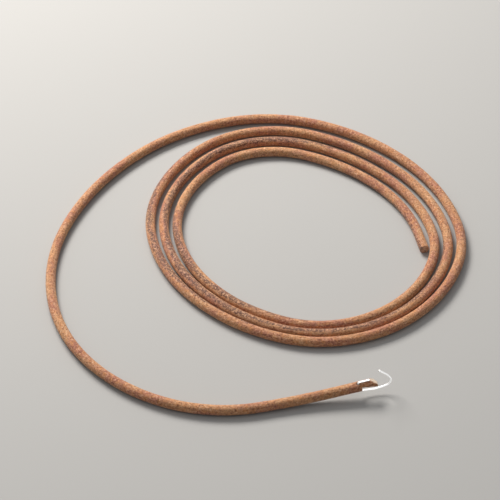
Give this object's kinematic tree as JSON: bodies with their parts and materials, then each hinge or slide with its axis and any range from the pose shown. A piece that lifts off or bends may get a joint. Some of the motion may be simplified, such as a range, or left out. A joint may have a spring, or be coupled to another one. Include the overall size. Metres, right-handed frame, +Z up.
{
  "type": "round leather drive belt with wire hook",
  "caption": "Open round leather drive belt coiled flat in three turns, with a bent wire hook turning in a punched hole at its lifted outer end.",
  "frame": {"origin": "under the middle of the coil's outline, on the surface that the belt lies on", "axes": "+Z up from that surface; +X to the right and +Y away as seen by someone who has the hook at the near side; the loose end with the hook lies at the -Y side and its free end points towards +X"},
  "size_m": [0.2098, 0.2094, 0.0152],
  "materials": {
    "leather": "raw vegetable-tanned leather, cut round, slightly napped",
    "wire": "bright drawn wire"
  },
  "bodies": {
    "belt": {"leather_cord": "leather"},
    "hook": {"wire_hook": "wire"}
  },
  "joints": [
    {"name": "hook_swivel", "type": "hinge", "parent": "belt", "child": "hook", "pos_m": [0.04672, -0.09067, 0.00587], "axis": [-0.1107, -0.0235, 0.9936], "range_deg": [-90, 90]}
  ]
}
